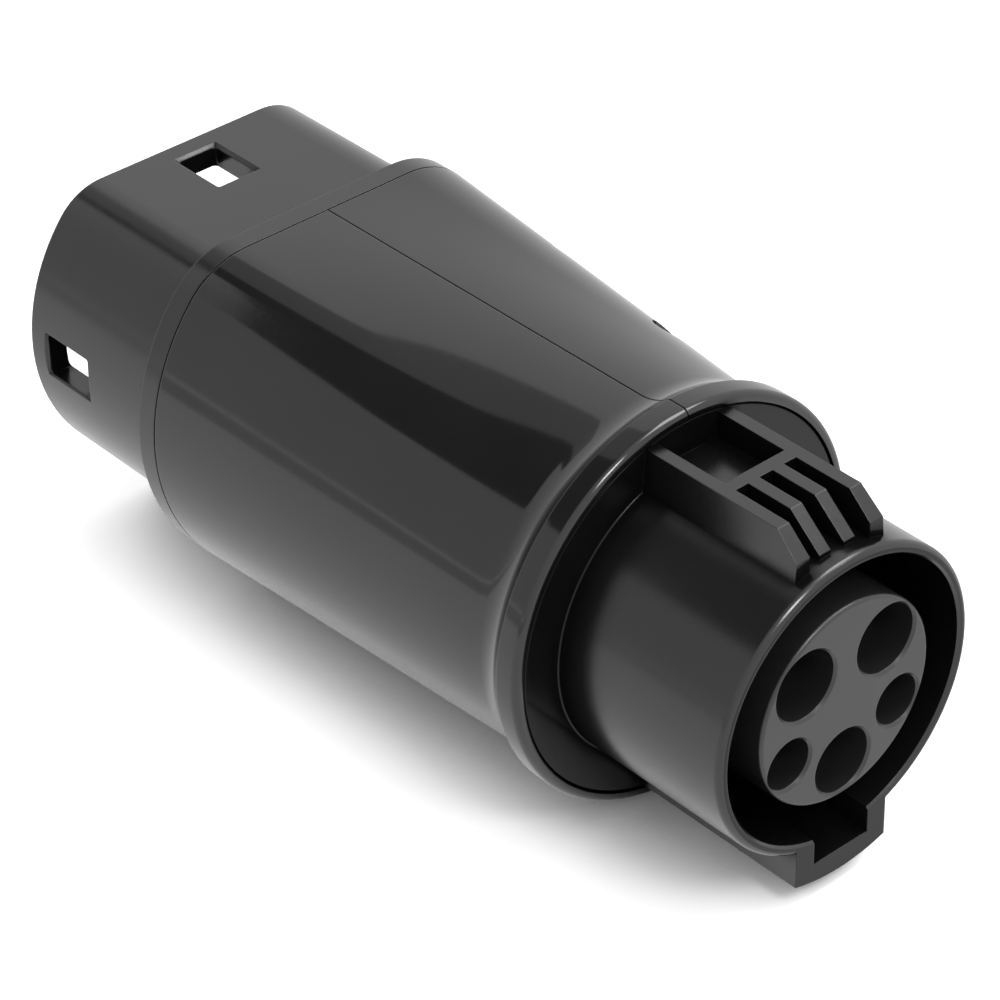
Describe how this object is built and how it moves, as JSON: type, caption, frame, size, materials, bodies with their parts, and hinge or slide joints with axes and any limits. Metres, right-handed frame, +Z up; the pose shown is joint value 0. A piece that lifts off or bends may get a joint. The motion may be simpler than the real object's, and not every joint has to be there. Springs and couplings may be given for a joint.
{
  "type": "electric vehicle charging adapter",
  "caption": "Charging adapter: a round inlet with pins in wells and a latch catch at one end, a D-shaped plug with lock windows and socket towers at the other, in a tapered split body.",
  "frame": {"origin": "centre of the bounding box's underside, where the rim rests", "axes": "+X out of the round inlet, +Z up towards the latch catch, +Y to the side with the body screws"},
  "size_m": [0.1446, 0.0688, 0.0644],
  "materials": {
    "inlet_black": "semi-gloss moulded black",
    "boss_black": "semi-gloss moulded black",
    "plug_black": "semi-gloss moulded black",
    "tower_black": "moulded black",
    "body_black": "satin to gloss moulded black",
    "seal_grey": "soft silicone",
    "plated_contact": "silver-plated, turned",
    "retainer_cream": "moulded",
    "wire_brown": "insulation",
    "wire_blue": "insulation",
    "wire_green": "insulation",
    "wire_white": "insulation",
    "wire_red": "insulation",
    "resistor_tan": "lacquered",
    "screw_steel": "zinc-plated"
  },
  "bodies": {
    "root": {"inlet_shell": "inlet_black", "pin_carrier": "boss_black", "pin_block": "boss_black", "inlet_seal": "seal_grey", "pin_live": "plated_contact", "pin_neutral": "plated_contact", "pin_earth": "plated_contact", "pin_pilot": "plated_contact", "pin_proximity": "plated_contact", "pin_retainer": "retainer_cream", "plug_shell": "plug_black", "socket_carrier": "tower_black", "plug_seal": "seal_grey", "socket_live": "plated_contact", "socket_neutral": "plated_contact", "socket_earth": "plated_contact", "socket_pilot": "plated_contact", "socket_proximity": "plated_contact", "socket_retainer": "retainer_cream", "body_shell_left": "body_black", "body_shell_right": "body_black", "wire_live": "wire_brown", "wire_neutral": "wire_blue", "wire_earth": "wire_green", "wire_pilot": "wire_white", "wire_proximity": "wire_red", "coding_resistor": "resistor_tan", "carrier_screws": "screw_steel", "flange_screws": "screw_steel", "retainer_screws": "screw_steel", "body_screws": "screw_steel"}
  },
  "joints": []
}
